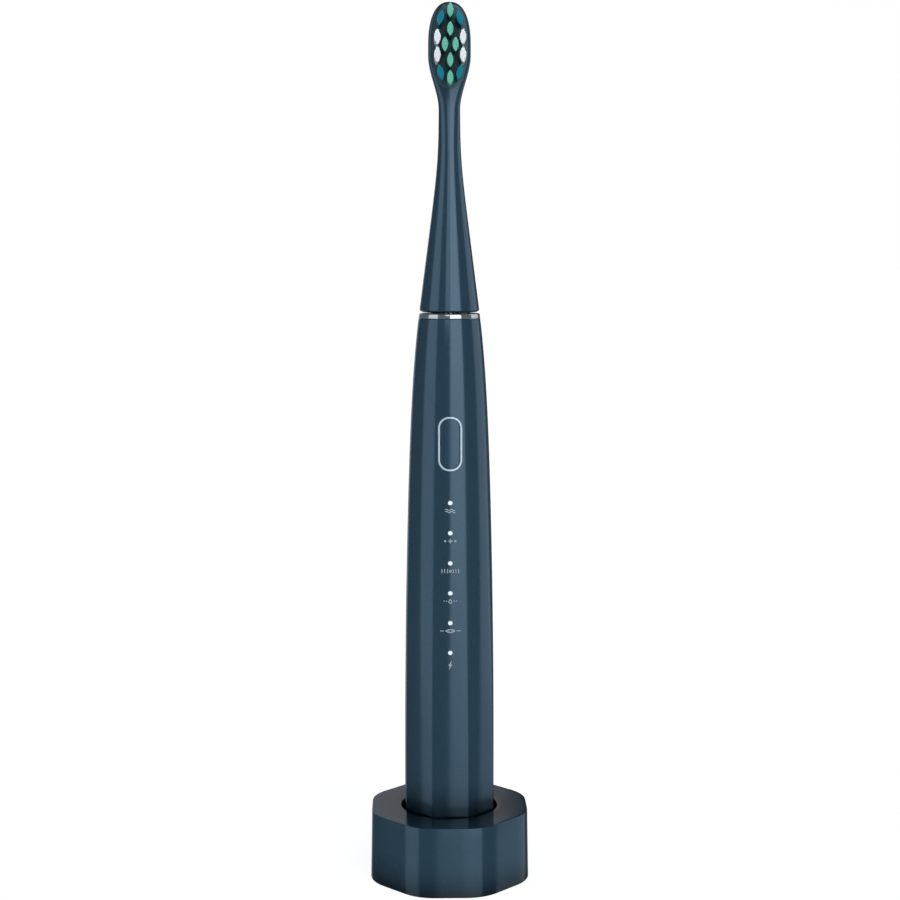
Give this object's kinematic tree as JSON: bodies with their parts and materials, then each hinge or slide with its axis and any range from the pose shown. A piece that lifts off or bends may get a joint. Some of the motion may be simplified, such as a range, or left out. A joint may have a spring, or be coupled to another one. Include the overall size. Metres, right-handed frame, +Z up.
{
  "type": "electric toothbrush on charger",
  "caption": "Slim electric toothbrush with an oval brush head, one button and indicator lights, standing in an octagonal charging stand.",
  "frame": {"origin": "centre of the charging stand on the surface it stands on", "axes": "+Z up along the shaft axis; the button and bristles face -Y; the cable gland faces +Y"},
  "size_m": [0.048, 0.048, 0.2619],
  "materials": {
    "navy_plastic": "satin",
    "charger_underside": "matte",
    "chrome_trim": "polished",
    "shaft_steel": "polished",
    "motor_steel": "satin",
    "fastener_steel": "satin",
    "black_rubber": "matte",
    "seal_silicone": "satin",
    "bearing_bronze": "satin",
    "copper_wire": "enamelled",
    "ferrite": "matte",
    "spool_plastic": "matte",
    "frame_plastic": "matte",
    "coupling_plastic": "satin",
    "board_green": "satin",
    "chip_black": "satin",
    "led_amber": "gloss",
    "light_guide_clear": "frosted",
    "battery_wrap": "satin",
    "wire_red": "satin",
    "bristle_mint": "satin",
    "bristle_white": "satin",
    "bristle_blue": "satin"
  },
  "bodies": {
    "charger": {"charger_skirt": "navy_plastic", "gland_plate": "navy_plastic", "charger_deck": "navy_plastic", "well_wall_tube": "navy_plastic", "well_floor_post": "navy_plastic", "charger_base_plate": "charger_underside", "charger_feet": "black_rubber", "charger_screws": "fastener_steel", "cable_gland": "black_rubber", "charger_board": "board_green", "charger_board_parts": "chip_black", "transmitter_core": "ferrite", "coil_former": "spool_plastic", "transmitter_coil": "copper_wire"},
    "handle": {"handle_housing": "navy_plastic", "bottom_cap": "navy_plastic", "post_sleeve": "navy_plastic", "sleeve_lid": "navy_plastic", "cap_seal": "black_rubber", "receiver_bobbin": "spool_plastic", "receiver_coil": "copper_wire", "trim_ring": "chrome_trim", "shaft_seal": "seal_silicone", "button_bezel": "chrome_trim", "button_seal": "seal_silicone", "light_guide": "light_guide_clear", "chassis": "frame_plastic", "battery_cell": "battery_wrap", "battery_tabs": "fastener_steel", "circuit_board": "board_green", "board_chips": "chip_black", "indicator_leds": "led_amber", "tact_switch_body": "chip_black", "board_screws": "fastener_steel", "wiring": "wire_red", "motor_can": "motor_steel", "motor_front_cap": "motor_steel", "motor_rear_cap": "motor_steel", "front_bearing": "bearing_bronze", "rear_bearing": "bearing_bronze", "stator_yoke": "motor_steel", "coil_bobbin": "spool_plastic", "motor_coil": "copper_wire", "motor_damper": "black_rubber"},
    "drive": {"drive_shaft": "shaft_steel", "rotor_core": "motor_steel", "rotor_magnets": "ferrite"},
    "button": {"power_button": "navy_plastic"},
    "plunger": {"switch_plunger": "spool_plastic"},
    "brush_head": {"brush_head_shell": "navy_plastic", "head_coupling": "coupling_plastic", "head_clip": "fastener_steel", "bristles_mint": "bristle_mint", "bristles_white": "bristle_white", "bristles_blue": "bristle_blue"}
  },
  "joints": [
    {"name": "lift_from_stand", "type": "slide", "parent": "charger", "child": "handle", "axis": [0, 0, 1], "range_m": [0, 0.04]},
    {"name": "drive_swing", "type": "hinge", "parent": "handle", "child": "drive", "pos_m": [0, 0, 0.17], "axis": [0, 0, 1], "range_deg": [-6, 6], "stiffness_Nm_per_rad": 0.02},
    {"name": "head_pull_off", "type": "slide", "parent": "drive", "child": "brush_head", "axis": [0, 0, 1], "range_m": [0, 0.03]},
    {"name": "button_press", "type": "slide", "parent": "handle", "child": "button", "axis": [0, 1, 0], "range_m": [0, 0.00035], "stiffness_N_per_m": 4000, "springref_m": -0.0001},
    {"name": "plunger_press", "type": "slide", "parent": "handle", "child": "plunger", "axis": [0, 1, 0], "range_m": [0, 0.00035]}
  ],
  "couplings": [
    {"joint": "plunger_press", "follows": "button_press", "ratio": 1}
  ]
}
